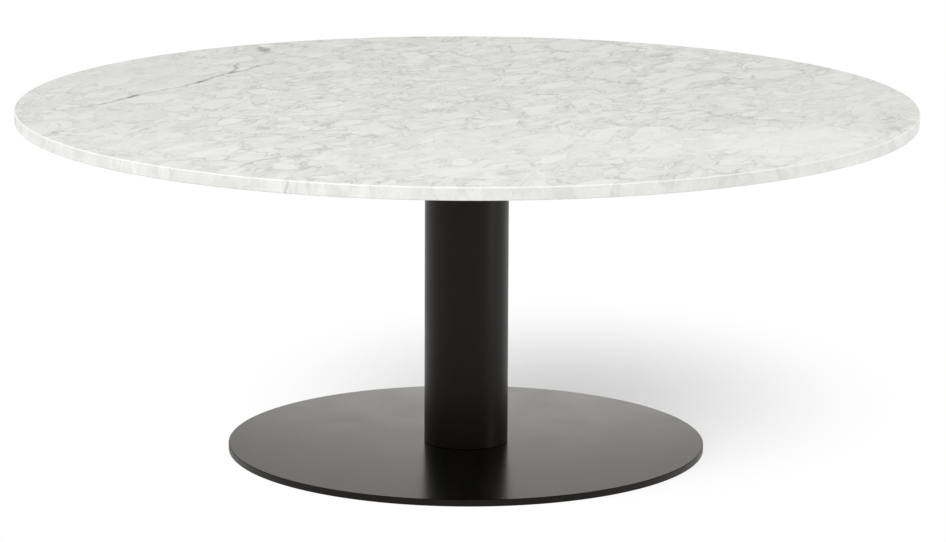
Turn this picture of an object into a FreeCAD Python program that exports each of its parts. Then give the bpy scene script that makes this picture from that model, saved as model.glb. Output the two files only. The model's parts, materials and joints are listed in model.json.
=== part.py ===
"""Round cocktail table: a stone disc on a steel column that stands on a flat steel disc.

The table's axis is Z, the floor is Z = 0 and every length is in millimetres.

From the floor up: nylon glides are pushed into the underside of the base disc. The column stands
on the disc and is drawn down to it by countersunk screws, which reach a plug welded inside the
tube. A second plug in the head of the tube carries the support plate in the same way. Rubber pads
lie between that plate and the stone, and a bolt through each pad runs into a brass insert that is
glued into the stone.
"""

import FreeCAD
import Part
import Sketcher

import os
import re

# Driving dimensions: the alias of the cell, its value and what it measures
SIZES = (
    ("table_height", 420, "floor to the stone's upper face"),
    ("top_diameter", 1067, "stone disc, across"),
    ("top_thickness", 15, "stone disc, thickness"),
    ("top_edge_radius", 1.5, "rounding of the stone's upper edge"),
    ("top_edge_chamfer", 1, "bevel of the stone's lower edge"),
    ("stone_cover", 4.5, "stone left above each insert's bore"),
    ("plate_diameter", 480, "support plate under the stone, across"),
    ("plate_thickness", 6, "support plate, thickness"),
    ("plate_chamfer", 1, "bevel of the support plate's edges"),
    ("pad_diameter", 36, "rubber pad between plate and stone, across"),
    ("pad_thickness", 2, "rubber pad, thickness under load"),
    ("bolt_count", 6, "bolts that hold the stone"),
    ("bolt_edge", 30, "bolt centre to the support plate's rim"),
    ("bolt_diameter", 6, "bolt's thread"),
    ("bolt_reach", 7, "length of the bolt inside the insert"),
    ("bolt_head", 12, "bolt's button head, across"),
    ("bolt_head_height", 3.5, "bolt's button head, height"),
    ("bolt_head_bevel", 1.5, "bevel of the button head"),
    ("bolt_key", 4, "hexagon socket in the bolt, across flats"),
    ("bolt_key_depth", 2, "depth of that socket"),
    ("washer_diameter", 18, "washer under each bolt head, across"),
    ("washer_thickness", 1.6, "washer, thickness"),
    ("insert_diameter", 10, "brass insert, across"),
    ("insert_groove", 0.8, "depth of the insert's glue groove"),
    ("insert_land", 2, "height of the ribs above and below that groove"),
    ("glue_gap", 0.2, "glue between insert and stone"),
    ("column_diameter", 100, "column tube, across"),
    ("column_wall", 3, "column tube, wall"),
    ("column_chamfer", 0.5, "bevel of the tube's outer ends"),
    ("plug_thickness", 12, "plug welded into each end of the tube"),
    ("weld_leg", 4, "leg of the weld between plug and tube"),
    ("weld_cover", 1, "how far the weld stays inside the tube's end"),
    ("screw_count", 4, "screws at each end of the column"),
    ("screw_inset", 17, "screw centre to the tube's bore"),
    ("tip_inset", 1, "screw's tip short of the plug's far face"),
    ("head_screw", 8, "thread of the screws in the column's head"),
    ("head_screw_head", 16, "their countersunk heads, across"),
    ("head_key", 5, "their hexagon sockets, across flats"),
    ("head_key_depth", 2.5, "depth of those sockets"),
    ("foot_screw", 10, "thread of the screws in the column's foot"),
    ("foot_screw_head", 20, "their countersunk heads, across"),
    ("foot_key", 6, "their hexagon sockets, across flats"),
    ("foot_key_depth", 3, "depth of those sockets"),
    ("base_diameter", 570, "base disc, across"),
    ("base_thickness", 8, "base disc, thickness"),
    ("base_edge_radius", 1, "rounding of the base disc's upper edge"),
    ("base_edge_chamfer", 0.5, "bevel of the base disc's lower edge"),
    ("glide_count", 6, "glides under the base disc"),
    ("glide_edge", 35, "glide centre to the base disc's rim"),
    ("glide_diameter", 28, "glide's foot, across"),
    ("glide_height", 3, "glide's foot, height"),
    ("glide_chamfer", 0.8, "bevel of the glide's lower edge"),
    ("glide_stem", 8, "glide's stem, across"),
    ("glide_cover", 2.5, "steel left above each glide's hole"),
    ("end_gap", 0.5, "space beyond a stem or an insert in its blind hole"),
    ("fit_gap", 0.15, "gap at a radius between pieces that seat in each other"),
    ("bolt_clearance", 0.5, "gap at a radius between a bolt and the hole it passes through"),
)
ALIASES = {alias for alias, value, meaning in SIZES}

# Heights above the floor, from the sizes
BASE_TOP = "(glide_height + base_thickness)"
STONE_BOTTOM = "(table_height - top_thickness)"
PLATE_TOP = f"({STONE_BOTTOM} - pad_thickness)"
PLATE_BOTTOM = f"({PLATE_TOP} - plate_thickness)"
PLUG_RECESS = "(weld_leg + weld_cover)"
FOOT_PLUG_BOTTOM = f"({BASE_TOP} + {PLUG_RECESS})"
HEAD_PLUG_TOP = f"({PLATE_BOTTOM} - {PLUG_RECESS})"

# Distances from the table's axis, from the sizes
COLUMN_BORE = "(column_diameter / 2 - column_wall)"
SCREW_CIRCLE = f"({COLUMN_BORE} - screw_inset)"
BOLT_CIRCLE = "(plate_diameter / 2 - bolt_edge)"
GLIDE_CIRCLE = "(base_diameter / 2 - glide_edge)"

# Depths of the blind holes, from the sizes
INSERT_BORE = "(top_thickness - stone_cover)"
INSERT_LENGTH = f"({INSERT_BORE} - end_gap)"
GLIDE_HOLE = "(base_thickness - glide_cover)"
GLIDE_STEM_LENGTH = f"({GLIDE_HOLE} - end_gap)"

COUNTERSINK_ANGLE = 90
FULL_TURN = 360
HEXAGON_SIDES = 6

# How a sketch's constraints name places: the points of a line or circle, and the sketch's own X axis
START, END, CENTRE = 1, 2, 3
X_AXIS = -1
ORIGIN = (X_AXIS, START)

# First guess at any length in a sketch, before its formula sets it
ROUGH = 1
UPRIGHT = FreeCAD.Vector(0, 0, 1)

doc = FreeCAD.newDocument("cocktail_table")


# The sheet of sizes and its use in formulas

sheet = doc.addObject("Spreadsheet::Sheet", "Sizes")
for row, (alias, value, meaning) in enumerate(SIZES, 1):
    sheet.set(f"A{row}", meaning)
    sheet.set(f"B{row}", str(value))
    sheet.setAlias(f"B{row}", alias)
doc.recompute()


def formula(text):
    """The text with each size's alias turned into its cell of the sheet."""
    def cell(word):
        return f"Sizes.{word[0]}" if word[0] in ALIASES else word[0]

    return re.sub(r"[a-z]\w*", cell, text)


def bind(thing, where, text):
    """Ties a property to a formula of sizes."""
    thing.setExpression(where, formula(text))


# Sketches

def new_sketch(body, name, plane="XY_Plane", height="0"):
    """An empty sketch on one of the body's own planes, raised by a formula."""
    sketch = body.newObject("Sketcher::SketchObject", name)
    support = next(feature for feature in body.Origin.OriginFeatures if feature.Role == plane)
    sketch.AttachmentSupport = [(support, "")]
    sketch.MapMode = "FlatFace"
    bind(sketch, "AttachmentOffset.Base.z", height)
    return sketch


def tie(sketch, kind, *places):
    """Adds one geometric constraint."""
    sketch.addConstraint(Sketcher.Constraint(kind, *places))


def dimension(sketch, kind, places, text):
    """Adds one driving dimension, tied to a formula."""
    number = sketch.addConstraint(Sketcher.Constraint(kind, *places, ROUGH))
    bind(sketch, f"Constraints[{number}]", text)


def add_circle(sketch, diameter, distance="0"):
    """A circle at a distance from the origin along the sketch's X axis."""
    circle = sketch.addGeometry(Part.Circle(FreeCAD.Vector(ROUGH, 0, 0), UPRIGHT, ROUGH))
    dimension(sketch, "Diameter", (circle,), diameter)
    tie(sketch, "PointOnObject", circle, CENTRE, X_AXIS)
    dimension(sketch, "DistanceX", (*ORIGIN, circle, CENTRE), distance)


def add_loop(sketch, points):
    """A closed loop of straight lines through points, each given by two formulas."""
    turn = FreeCAD.Rotation(UPRIGHT, FULL_TURN / len(points))
    corner = FreeCAD.Vector(ROUGH, 0, 0)
    lines = []
    for point in points:
        following = turn.multVec(corner)
        lines.append(sketch.addGeometry(Part.LineSegment(corner, following)))
        corner = following
    for line, following in zip(lines, lines[1:] + lines[:1]):
        tie(sketch, "Coincident", line, END, following, START)
    for line, (across, up) in zip(lines, points):
        dimension(sketch, "DistanceX", (*ORIGIN, line, START), across)
        dimension(sketch, "DistanceY", (*ORIGIN, line, START), up)


def add_hexagon(sketch, across_flats, distance):
    """A hexagon at a distance from the origin along X, with two of its flats along X."""
    angle = FULL_TURN / HEXAGON_SIDES
    radius = f"{across_flats} / 2 / cos({angle / 2} deg)"
    corners = []
    for corner in range(HEXAGON_SIDES):
        across = f"{distance} + {radius} * cos({corner * angle} deg)"
        corners.append((across, f"{radius} * sin({corner * angle} deg)"))
    add_loop(sketch, corners)


def add_outline(sketch, points, axis="0"):
    """A closed outline of straight lines, and the upright line that it turns about.

    Each point is a distance from that line and a height above the sketch's origin.
    """
    shape = Part.LineSegment(FreeCAD.Vector(0, 0, 0), FreeCAD.Vector(0, ROUGH, 0))
    spindle = sketch.addGeometry(shape, True)
    tie(sketch, "Vertical", spindle)
    tie(sketch, "PointOnObject", spindle, START, X_AXIS)
    dimension(sketch, "DistanceX", (*ORIGIN, spindle, START), axis)
    dimension(sketch, "DistanceY", (spindle, START, spindle, END), "table_height")
    add_loop(sketch, [(f"{axis} + {distance}", height) for distance, height in points])


# Features of a body

def new_body(label):
    """An empty body, whose label names its node."""
    body = doc.addObject("PartDesign::Body", label)
    body.Label = label
    return body


def pad(body, sketch, length):
    """Raises a sketch into a solid."""
    feature = body.newObject("PartDesign::Pad", "Pad")
    feature.Profile = sketch
    bind(feature, "Length", length)
    return feature


def pocket(body, sketch, depth, upwards):
    """Sinks a sketch into the body, from its plane upwards or downwards."""
    feature = body.newObject("PartDesign::Pocket", "Pocket")
    feature.Profile = sketch
    feature.Reversed = upwards
    bind(feature, "Length", depth)
    return feature


def turned(body, points, axis="0"):
    """A solid turned from an outline about an upright axis."""
    sketch = new_sketch(body, "Outline", "XZ_Plane")
    add_outline(sketch, points, axis)
    feature = body.newObject("PartDesign::Revolution", "Turned")
    feature.Profile = sketch
    feature.ReferenceAxis = (sketch, ["Axis0"])
    feature.Angle = FULL_TURN
    return feature


def countersunk_hole(body, height, screw, screw_head, upwards):
    """A screw's hole through the body, countersunk on the face at that height."""
    diameter = f"{screw} + 2 * bolt_clearance"
    sketch = new_sketch(body, "ScrewPlace", height=height)
    add_circle(sketch, diameter, SCREW_CIRCLE)
    doc.recompute()
    feature = body.newObject("PartDesign::Hole", "ScrewHole")
    feature.Profile = sketch
    feature.Reversed = upwards
    feature.DepthType = "ThroughAll"
    feature.HoleCutType = "Countersink"
    feature.HoleCutCustomValues = True
    feature.HoleCutCountersinkAngle = COUNTERSINK_ANGLE
    bind(feature, "Diameter", diameter)
    bind(feature, "HoleCutDiameter", f"{screw_head} + 2 * fit_gap")
    return feature


def around(body, features, count):
    """Repeats features about the table's axis."""
    feature = body.newObject("PartDesign::PolarPattern", "Around")
    feature.Originals = features
    axis = next(part for part in body.Origin.OriginFeatures if part.Role == "Z_Axis")
    feature.Axis = (axis, [""])
    feature.Angle = FULL_TURN
    bind(feature, "Occurrences", count)
    body.Tip = feature
    return feature


def rim(feature, upper):
    """The name of a disc's outermost round edge, on its upper or its lower side."""
    circles = {}
    for number, edge in enumerate(feature.Shape.Edges, 1):
        if isinstance(edge.Curve, Part.Circle):
            height = edge.Curve.Center.z
            circles[f"Edge{number}"] = (round(edge.Curve.Radius, 3), height if upper else -height)
    return max(circles, key=circles.get)


def soften(body, base, kind, size_name, size, upper):
    """Rounds or bevels a disc's rim."""
    doc.recompute()
    feature = body.newObject(f"PartDesign::{kind}", kind)
    feature.Base = (base, [rim(base, upper)])
    bind(feature, size_name, size)
    return feature


# The stone top and what fixes it

def make_marble_top():
    """The stone disc: rounded above, bevelled below, with a blind bore for each insert."""
    body = new_body("marble_top")
    sketch = new_sketch(body, "Disc", height=STONE_BOTTOM)
    add_circle(sketch, "top_diameter")
    disc = pad(body, sketch, "top_thickness")
    rounded = soften(body, disc, "Fillet", "Radius", "top_edge_radius", upper=True)
    soften(body, rounded, "Chamfer", "Size", "top_edge_chamfer", upper=False)
    bore_sketch = new_sketch(body, "InsertPlace", height=STONE_BOTTOM)
    add_circle(bore_sketch, "insert_diameter + 2 * glue_gap", BOLT_CIRCLE)
    bore = pocket(body, bore_sketch, INSERT_BORE, upwards=True)
    around(body, [bore], "bolt_count")
    return body


def make_stone_inserts():
    """Brass sleeves in the stone, grooved for the glue and bored for the bolts."""
    body = new_body("stone_inserts")
    bore = "(bolt_diameter / 2 + fit_gap)"
    outside = "insert_diameter / 2"
    groove = "insert_diameter / 2 - insert_groove"
    mouth = STONE_BOTTOM
    end = f"({STONE_BOTTOM} + {INSERT_LENGTH})"
    sleeve = turned(body, [
        (bore, mouth),
        (outside, mouth),
        (outside, f"{mouth} + insert_land"),
        (groove, f"{mouth} + insert_land + insert_groove"),
        (groove, f"{end} - insert_land - insert_groove"),
        (outside, f"{end} - insert_land"),
        (outside, end),
        (bore, end),
    ], BOLT_CIRCLE)
    around(body, [sleeve], "bolt_count")
    return body


def make_isolator_pad(index, count):
    """One rubber pad between the support plate and the stone, holed for its bolt."""
    body = new_body(f"isolator_pad_{index + 1}")
    hole = "bolt_diameter / 2 + bolt_clearance"
    edge = "pad_diameter / 2"
    turned(body, [(hole, "0"), (edge, "0"), (edge, "pad_thickness"), (hole, "pad_thickness")])
    place_around(body, index, count, BOLT_CIRCLE, PLATE_TOP)
    return body


def make_plate_bolts():
    """Button-headed bolts that hold the stone down to its plate."""
    body = new_body("plate_bolts")
    seat = f"({PLATE_BOTTOM} - washer_thickness)"
    head = f"({seat} - bolt_head_height)"
    tip = f"({STONE_BOTTOM} + bolt_reach)"
    bolt = turned(body, [
        ("0", head),
        ("(bolt_head / 2 - bolt_head_bevel)", head),
        ("bolt_head / 2", f"{head} + bolt_head_bevel"),
        ("bolt_head / 2", seat),
        ("bolt_diameter / 2", seat),
        ("bolt_diameter / 2", tip),
        ("0", tip),
    ], BOLT_CIRCLE)
    sketch = new_sketch(body, "Socket", height=head)
    add_hexagon(sketch, "bolt_key", BOLT_CIRCLE)
    socket = pocket(body, sketch, "bolt_key_depth", upwards=True)
    around(body, [bolt, socket], "bolt_count")
    return body


def make_plate_washers():
    """A washer between each bolt head and the support plate."""
    body = new_body("plate_washers")
    hole = "bolt_diameter / 2 + bolt_clearance"
    edge = "washer_diameter / 2"
    low = f"({PLATE_BOTTOM} - washer_thickness)"
    high = PLATE_BOTTOM
    washer = turned(body, [(hole, low), (edge, low), (edge, high), (hole, high)], BOLT_CIRCLE)
    around(body, [washer], "bolt_count")
    return body


def make_support_plate():
    """The steel disc under the stone, with bolt holes near its rim and screw holes over the column."""
    body = new_body("support_plate")
    sketch = new_sketch(body, "Disc", height=PLATE_BOTTOM)
    add_circle(sketch, "plate_diameter")
    disc = pad(body, sketch, "plate_thickness")
    bevelled = soften(body, disc, "Chamfer", "Size", "plate_chamfer", upper=True)
    soften(body, bevelled, "Chamfer", "Size", "plate_chamfer", upper=False)
    bolt_sketch = new_sketch(body, "BoltPlace", height=PLATE_BOTTOM)
    add_circle(bolt_sketch, "bolt_diameter + 2 * bolt_clearance", BOLT_CIRCLE)
    bolt_hole = pocket(body, bolt_sketch, "plate_thickness", upwards=True)
    around(body, [bolt_hole], "bolt_count")
    screw_hole = countersunk_hole(body, PLATE_TOP, "head_screw", "head_screw_head", upwards=False)
    around(body, [screw_hole], "screw_count")
    return body


# The column

def make_column_tube():
    """The upright steel tube."""
    body = new_body("column_tube")
    sketch = new_sketch(body, "Ring", height=BASE_TOP)
    add_circle(sketch, "column_diameter")
    add_circle(sketch, f"2 * {COLUMN_BORE}")
    tube = pad(body, sketch, f"{PLATE_BOTTOM} - {BASE_TOP}")
    bevelled = soften(body, tube, "Chamfer", "Size", "column_chamfer", upper=True)
    soften(body, bevelled, "Chamfer", "Size", "column_chamfer", upper=False)
    return body


def make_column_plug(end, bottom):
    """The plug inside one end of the tube, tapped for the screws."""
    body = new_body(f"{end}_plug")
    sketch = new_sketch(body, "Disc", height=bottom)
    add_circle(sketch, f"2 * {COLUMN_BORE} - 2 * fit_gap")
    pad(body, sketch, "plug_thickness")
    tap_sketch = new_sketch(body, "ScrewPlace", height=bottom)
    add_circle(tap_sketch, f"{end}_screw + 2 * fit_gap", SCREW_CIRCLE)
    tapped = pocket(body, tap_sketch, "plug_thickness", upwards=True)
    around(body, [tapped], "screw_count")
    return body


def make_plug_weld(end, corner, edge):
    """The ring of weld in the corner between a plug's outer face and the tube's bore."""
    body = new_body(f"{end}_weld")
    turned(body, [(f"{COLUMN_BORE} - weld_leg", corner), (COLUMN_BORE, corner), (COLUMN_BORE, edge)])
    return body


def make_countersunk_screws(end, face, tip, upwards):
    """Screws at one end of the column, whose flat heads lie flush in the face at that height."""
    body = new_body(f"{end}_screws")
    screw = f"{end}_screw"
    screw_head = f"{end}_screw_head"
    neck = f"{face} {'+' if upwards else '-'} ({screw_head} - {screw}) / 2"
    shaft = turned(body, [
        ("0", face),
        (f"{screw_head} / 2", face),
        (f"{screw} / 2", neck),
        (f"{screw} / 2", tip),
        ("0", tip),
    ], SCREW_CIRCLE)
    sketch = new_sketch(body, "Socket", height=face)
    add_hexagon(sketch, f"{end}_key", SCREW_CIRCLE)
    socket = pocket(body, sketch, f"{end}_key_depth", upwards)
    around(body, [shaft, socket], "screw_count")
    return body


# The base

def make_base_disc():
    """The steel disc on the floor side, with countersunk holes and blind holes from below."""
    body = new_body("base_disc")
    sketch = new_sketch(body, "Disc", height="glide_height")
    add_circle(sketch, "base_diameter")
    disc = pad(body, sketch, "base_thickness")
    rounded = soften(body, disc, "Fillet", "Radius", "base_edge_radius", upper=True)
    soften(body, rounded, "Chamfer", "Size", "base_edge_chamfer", upper=False)
    glide_sketch = new_sketch(body, "GlidePlace", height="glide_height")
    add_circle(glide_sketch, "glide_stem + 2 * fit_gap", GLIDE_CIRCLE)
    glide_hole = pocket(body, glide_sketch, GLIDE_HOLE, upwards=True)
    around(body, [glide_hole], "glide_count")
    screw_hole = countersunk_hole(body, "glide_height", "foot_screw", "foot_screw_head", upwards=True)
    around(body, [screw_hole], "screw_count")
    return body


def make_glide(index, count):
    """One nylon glide: a round foot with a stem that is pushed into the base disc."""
    body = new_body(f"glide_{index + 1}")
    stem_top = f"glide_height + {GLIDE_STEM_LENGTH}"
    turned(body, [
        ("0", "0"),
        ("glide_diameter / 2 - glide_chamfer", "0"),
        ("glide_diameter / 2", "glide_chamfer"),
        ("glide_diameter / 2", "glide_height"),
        ("glide_stem / 2", "glide_height"),
        ("glide_stem / 2", stem_top),
        ("0", stem_top),
    ])
    place_around(body, index, count, GLIDE_CIRCLE, "0")
    return body


def place_around(body, index, count, circle, height):
    """Puts one of several like bodies at its place round the table's axis."""
    angle = f"{index} * {FULL_TURN} deg / {count}"
    bind(body, "Placement.Base.x", f"{circle} * cos({angle})")
    bind(body, "Placement.Base.y", f"{circle} * sin({angle})")
    bind(body, "Placement.Base.z", height)


def make_table():
    """All the sub-parts, from the floor up."""
    foot_tip = f"{FOOT_PLUG_BOTTOM} + plug_thickness - tip_inset"
    head_tip = f"{HEAD_PLUG_TOP} - plug_thickness + tip_inset"
    parts = [make_glide(index, "glide_count") for index in range(int(sheet.glide_count))]
    parts += [
        make_base_disc(),
        make_countersunk_screws("foot", "glide_height", foot_tip, upwards=True),
        make_column_tube(),
        make_column_plug("foot", FOOT_PLUG_BOTTOM),
        make_plug_weld("foot", FOOT_PLUG_BOTTOM, f"{FOOT_PLUG_BOTTOM} - weld_leg"),
        make_column_plug("head", f"{HEAD_PLUG_TOP} - plug_thickness"),
        make_plug_weld("head", HEAD_PLUG_TOP, f"{HEAD_PLUG_TOP} + weld_leg"),
        make_countersunk_screws("head", PLATE_TOP, head_tip, upwards=False),
        make_support_plate(),
        make_plate_washers(),
        make_plate_bolts(),
        make_stone_inserts(),
        make_marble_top(),
    ]
    parts += [make_isolator_pad(index, "bolt_count") for index in range(int(sheet.bolt_count))]
    doc.recompute()
    return parts


def check(parts):
    """Stops with a message if any object failed or any sub-part has no good solid."""
    for thing in doc.Objects:
        if "Invalid" in thing.State or "Error" in thing.State:
            raise RuntimeError(f"{thing.Label} failed: {thing.State}")
    for body in parts:
        if body.Shape.isNull() or not body.Shape.isValid() or not body.Shape.Solids:
            raise RuntimeError(f"{body.Label} has no valid solid")


def write(parts):
    """One STEP file for each sub-part, named by its label."""
    os.makedirs("parts", exist_ok=True)
    for body in parts:
        body.Shape.exportStep(f"parts/{body.Label}.step")
        solids = body.Shape.Solids
        print(f"{body.Label}: {len(solids)} solid(s), {body.Shape.Volume:.0f} mm3")


table = make_table()
check(table)
write(table)
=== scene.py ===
# %% [markdown]
# # A round cocktail table
#
# The table is three things to the eye: a thin disc of white veined marble, a black steel tube and a
# flat black steel disc on the floor. Out of sight are the plate, pads, bolts and glides that make it
# stand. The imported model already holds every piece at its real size, so this lesson adds what a model
# of sizes can't: fine meshes for the pieces that show most, and the look of stone, powder coat,
# plated steel, rubber and nylon. Lengths are metres unless a name or a comment says mm, and Z is up.

# %% Load the measured model
import json
import math

import bmesh
import bpy
from mathutils import Matrix, Vector


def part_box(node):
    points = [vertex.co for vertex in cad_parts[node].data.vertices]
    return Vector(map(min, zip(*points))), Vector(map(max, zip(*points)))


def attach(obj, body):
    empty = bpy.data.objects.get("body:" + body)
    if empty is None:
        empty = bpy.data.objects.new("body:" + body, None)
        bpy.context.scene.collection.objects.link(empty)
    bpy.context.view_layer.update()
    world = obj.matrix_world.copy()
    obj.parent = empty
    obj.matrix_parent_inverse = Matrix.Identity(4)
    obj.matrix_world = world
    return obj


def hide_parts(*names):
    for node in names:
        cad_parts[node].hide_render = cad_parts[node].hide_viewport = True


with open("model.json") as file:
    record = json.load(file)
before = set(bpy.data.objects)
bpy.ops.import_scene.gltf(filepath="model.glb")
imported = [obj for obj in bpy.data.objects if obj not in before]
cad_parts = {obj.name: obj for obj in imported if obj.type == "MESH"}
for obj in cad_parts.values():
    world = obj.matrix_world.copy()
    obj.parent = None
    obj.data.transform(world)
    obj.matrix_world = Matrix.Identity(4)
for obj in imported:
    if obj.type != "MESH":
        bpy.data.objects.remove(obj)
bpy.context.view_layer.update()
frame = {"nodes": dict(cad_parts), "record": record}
nodes = frame["nodes"]

# %% [markdown]
# ## Pieces turned on a lathe
#
# The slab, the tube and the base are all round, so each is drawn as half of its outline and spun
# about the table's axis, as on a lathe. A primitive cylinder would be quicker, but it has hard edges
# that no real slab or plate has. An edge is rounded with a few points on a quarter circle. A ring of
# points close beside each rounding, called a holding loop, keeps the flat face next to it from being
# shaded as if it curved too.

# %% The lathe
MM = 0.001
HOLD = 0.4 * MM
ARC_STEPS = 6


def quarter_round(centre, radius):
    """Points on a quarter circle, from straight outwards to straight up."""
    angles = [math.pi / 2 * step / ARC_STEPS for step in range(ARC_STEPS + 1)]
    return [(centre[0] + radius * math.cos(a), centre[1] + radius * math.sin(a)) for a in angles]


def disc_outline(radius, bottom, top, rounding, bevel, rings):
    """Half the outline of a flat disc, bevelled below and rounded above, with rings on both faces."""
    face_radius = radius - rounding - HOLD
    face_rings = [face_radius * ring / rings for ring in range(rings + 1)]
    return [
        *[(ring, bottom) for ring in face_rings],
        (radius - bevel, bottom),
        (radius, bottom + bevel),
        (radius, top - rounding - HOLD),
        *quarter_round((radius - rounding, top - rounding), rounding),
        *[(ring, top) for ring in reversed(face_rings)],
    ]


def turn(bm, outline, sides, centre=(0, 0)):
    """Spins an outline of (radius, height) points about an upright axis through centre."""
    points = [bm.verts.new((centre[0] + radius, centre[1], height)) for radius, height in outline]
    edges = [bm.edges.new(pair) for pair in zip(points, points[1:])]
    if outline[0][0] > 0:
        edges.append(bm.edges.new((points[-1], points[0])))
    bmesh.ops.spin(
        bm, geom=points + edges, cent=(*centre, 0), axis=(0, 0, 1), angle=math.tau, steps=sides,
        use_merge=True,
    )


print("points on a rounded edge:", ARC_STEPS + 1)

# %% [markdown]
# Holes could be modelled into the mesh ring by ring, but a Boolean is simpler: the drills are turned
# too, all of a piece's drills make one mesh, and that mesh is taken away from the piece.

# %% Pieces and their holes
WELD_DISTANCE = 0.001 * MM
HOLE_SIDES = 32


def new_piece(name, bm):
    """Closes a turned mesh and puts it in the scene."""
    bmesh.ops.remove_doubles(bm, verts=bm.verts[:], dist=WELD_DISTANCE)
    bmesh.ops.recalc_face_normals(bm, faces=bm.faces[:])
    mesh = bpy.data.meshes.new(name)
    bm.to_mesh(mesh)
    bm.free()
    piece = bpy.data.objects.new(name, mesh)
    bpy.context.collection.objects.link(piece)
    return piece


def ring_places(count, radius):
    """Evenly spaced places on a circle, the first on +X."""
    return [
        (radius * math.cos(math.tau * n / count), radius * math.sin(math.tau * n / count))
        for n in range(count)
    ]


def drill(tools, place, radius, low, high, sides=HOLE_SIDES):
    """Adds a straight drill to a mesh of tools, round or with as many sides as asked."""
    turn(tools, [(0, low), (radius, low), (radius, high), (0, high)], sides, place)


def cut(piece, tools):
    """Cuts a mesh of turned tools out of a piece."""
    tool = new_piece(piece.name + "_tools", tools)
    boolean = piece.modifiers.new("Holes", "BOOLEAN")
    boolean.object = tool
    boolean.solver = "EXACT"
    whole = piece.data
    drilled = piece.evaluated_get(bpy.context.evaluated_depsgraph_get())
    piece.data = bpy.data.meshes.new_from_object(drilled)
    piece.modifiers.clear()
    piece.data.name = piece.name
    bpy.data.meshes.remove(whole)
    bpy.data.objects.remove(tool)


print("sides of a drilled hole:", HOLE_SIDES)

# %% [markdown]
# ## The stone slab
#
# The slab is 15 mm thick with a small polished rounding above and a bevel below. Rings on its flat
# faces keep the faces short. Six blind bores from below take the brass inserts.

# %% Turn the slab and bore it
slab_low, slab_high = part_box("marble_top")
SLAB_RADIUS = slab_high.x
SLAB_BOTTOM, SLAB_TOP = slab_low.z, slab_high.z
SLAB_ROUND = 1.5 * MM
SLAB_BEVEL = 1 * MM
SLAB_SIDES = 288
SLAB_RINGS = 4
BORE_COUNT = 6
BORE_RING_RADIUS = 210 * MM
BORE_RADIUS = 5.2 * MM
BORE_DEPTH = 10.5 * MM

slab_outline = disc_outline(SLAB_RADIUS, SLAB_BOTTOM, SLAB_TOP, SLAB_ROUND, SLAB_BEVEL, SLAB_RINGS)
slab_mesh = bmesh.new()
turn(slab_mesh, slab_outline, SLAB_SIDES)
slab = new_piece("stone_slab", slab_mesh)

bores = bmesh.new()
for place in ring_places(BORE_COUNT, BORE_RING_RADIUS):
    drill(bores, place, BORE_RADIUS, SLAB_BOTTOM - BORE_RADIUS, SLAB_BOTTOM + BORE_DEPTH)
cut(slab, bores)
print("slab radius", round(SLAB_RADIUS, 4), "faces", len(slab.data.polygons))

# %% [markdown]
# ## The steel tube
#
# The column is a length of round tube, sawn square, with its ends deburred to a small bevel. Rings up
# its side keep the faces short.

# %% Turn the column
tube_low, tube_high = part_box("column_tube")
TUBE_RADIUS = tube_high.x
TUBE_WALL = 3 * MM
TUBE_BEVEL = 0.5 * MM
TUBE_SIDES = 192
TUBE_RINGS = 6

tube_rise = (tube_high.z - tube_low.z - 2 * TUBE_BEVEL) / TUBE_RINGS
tube_mesh = bmesh.new()
turn(tube_mesh, [
    (TUBE_RADIUS - TUBE_WALL, tube_low.z),
    (TUBE_RADIUS - TUBE_BEVEL, tube_low.z),
    *[(TUBE_RADIUS, tube_low.z + TUBE_BEVEL + tube_rise * ring) for ring in range(TUBE_RINGS + 1)],
    (TUBE_RADIUS - TUBE_BEVEL, tube_high.z),
    (TUBE_RADIUS - TUBE_WALL, tube_high.z),
], TUBE_SIDES)
tube = new_piece("column_pipe", tube_mesh)
print("column radius", round(TUBE_RADIUS, 4), "faces", len(tube.data.polygons))

# %% [markdown]
# ## The base disc
#
# The base is laser-cut plate whose upper edge was broken with a small rounding before it was coated.
# From below, four countersunk holes take the screws that hold the column, and six blind holes take
# the glides' stems.

# %% Turn the base and drill it
base_low, base_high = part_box("base_disc")
BASE_RADIUS = base_high.y
BASE_BOTTOM, BASE_TOP = base_low.z, base_high.z
BASE_ROUND = 1 * MM
BASE_BEVEL = 0.5 * MM
BASE_SIDES = 288
BASE_RINGS = 3
SCREW_COUNT = 4
SCREW_RING_RADIUS = 30 * MM
SCREW_HOLE_RADIUS = 5.5 * MM
SINK_RADIUS = 10.15 * MM
SINK_SIDES = 48
STEM_COUNT = 6
STEM_RING_RADIUS = 250 * MM
STEM_HOLE_RADIUS = 4.15 * MM
STEM_HOLE_DEPTH = 5.5 * MM

base_outline = disc_outline(BASE_RADIUS, BASE_BOTTOM, BASE_TOP, BASE_ROUND, BASE_BEVEL, BASE_RINGS)
base_mesh = bmesh.new()
turn(base_mesh, base_outline, BASE_SIDES)
base = new_piece("base_plate", base_mesh)

base_tools = bmesh.new()
for place in ring_places(SCREW_COUNT, SCREW_RING_RADIUS):
    turn(base_tools, [
        (0, BASE_BOTTOM - HOLD),
        (SINK_RADIUS + HOLD, BASE_BOTTOM - HOLD),
        (SCREW_HOLE_RADIUS, BASE_BOTTOM + SINK_RADIUS - SCREW_HOLE_RADIUS),
        (SCREW_HOLE_RADIUS, BASE_TOP + HOLD),
        (0, BASE_TOP + HOLD),
    ], SINK_SIDES, place)
for place in ring_places(STEM_COUNT, STEM_RING_RADIUS):
    drill(base_tools, place, STEM_HOLE_RADIUS, BASE_BOTTOM - HOLD, BASE_BOTTOM + STEM_HOLE_DEPTH)
cut(base, base_tools)
print("base radius", round(BASE_RADIUS, 4), "faces", len(base.data.polygons))

# %% [markdown]
# ## Button-headed bolts
#
# From a low seat the bolt heads show under the plate. A button head is a shallow dome with a
# hexagon socket, so its outline is an arc, and the socket is cut with a six-sided drill.

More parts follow.
